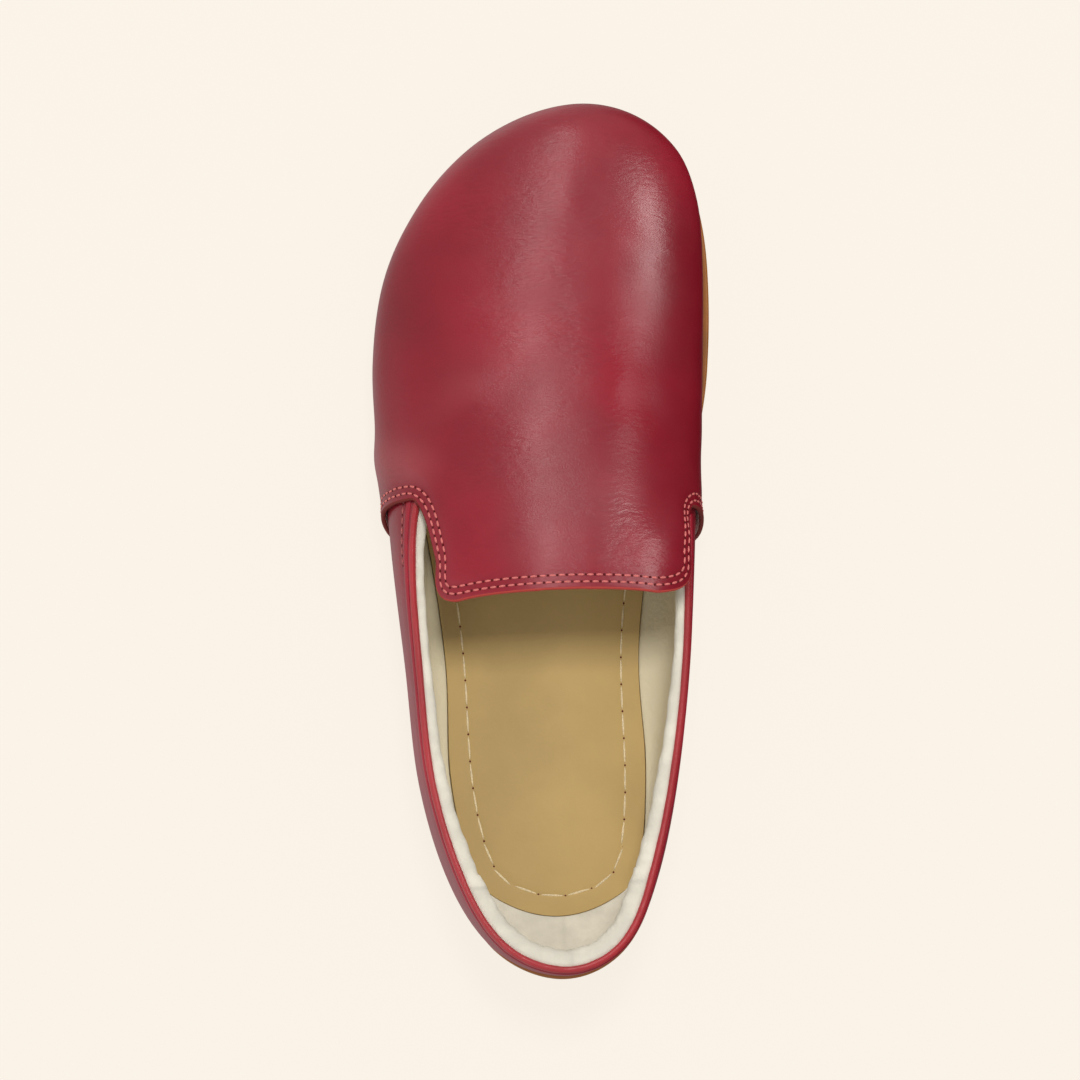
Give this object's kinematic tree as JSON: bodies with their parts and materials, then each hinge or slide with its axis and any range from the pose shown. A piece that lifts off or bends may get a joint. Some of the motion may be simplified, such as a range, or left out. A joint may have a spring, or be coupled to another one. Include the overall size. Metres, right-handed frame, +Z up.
{
  "type": "slip-on shoe",
  "caption": "Low leather slip-on shoe for the left foot: smooth one-piece vamp with a square instep flap, bound topline, lined quarters, leather insole and thin flat sole.",
  "frame": {"origin": "on the floor, under the middle of the shoe's box", "axes": "+Y from heel to toe, +X to the inner (big toe) side, +Z up"},
  "size_m": [0.102, 0.26, 0.0733],
  "materials": {
    "red_leather": "smooth satin full-grain leather, wine red",
    "red_binding": "rolled thin leather strip, brighter red",
    "tan_insole": "matt vegetable-tanned leather, tan",
    "amber_sole": "waxed leather sole with a cut edge, amber",
    "pale_lining": "soft pale lining leather, cream",
    "thread": "waxed sewing thread"
  },
  "bodies": {
    "root": {"outsole": "amber_sole", "insole": "tan_insole", "upper": "red_leather", "vamp": "red_leather", "collar_binding": "red_binding"}
  },
  "joints": []
}
